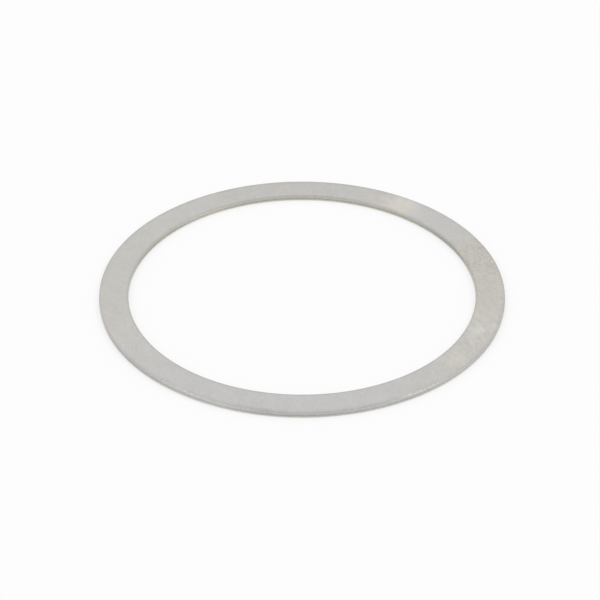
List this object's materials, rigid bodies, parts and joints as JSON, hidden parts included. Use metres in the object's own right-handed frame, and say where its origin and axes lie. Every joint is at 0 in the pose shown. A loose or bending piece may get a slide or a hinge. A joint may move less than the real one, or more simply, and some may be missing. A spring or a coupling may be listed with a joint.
{
  "type": "adjusting shim",
  "caption": "Thin flat steel shim ring with a wide plain hole, blanked from strip, that takes up axial play between parts on a shaft.",
  "frame": {"origin": "centre of the ring on its underside, the plane it rests on", "axes": "+Z along the ring's axis, from the broken underside to the top face with the rolled edges; X and Y are free, because the ring is round"},
  "size_m": [0.07, 0.07, 0.001],
  "materials": {
    "blanked_steel": "tumbled, satin"
  },
  "bodies": {
    "root": {"shim_ring": "blanked_steel"}
  },
  "joints": []
}
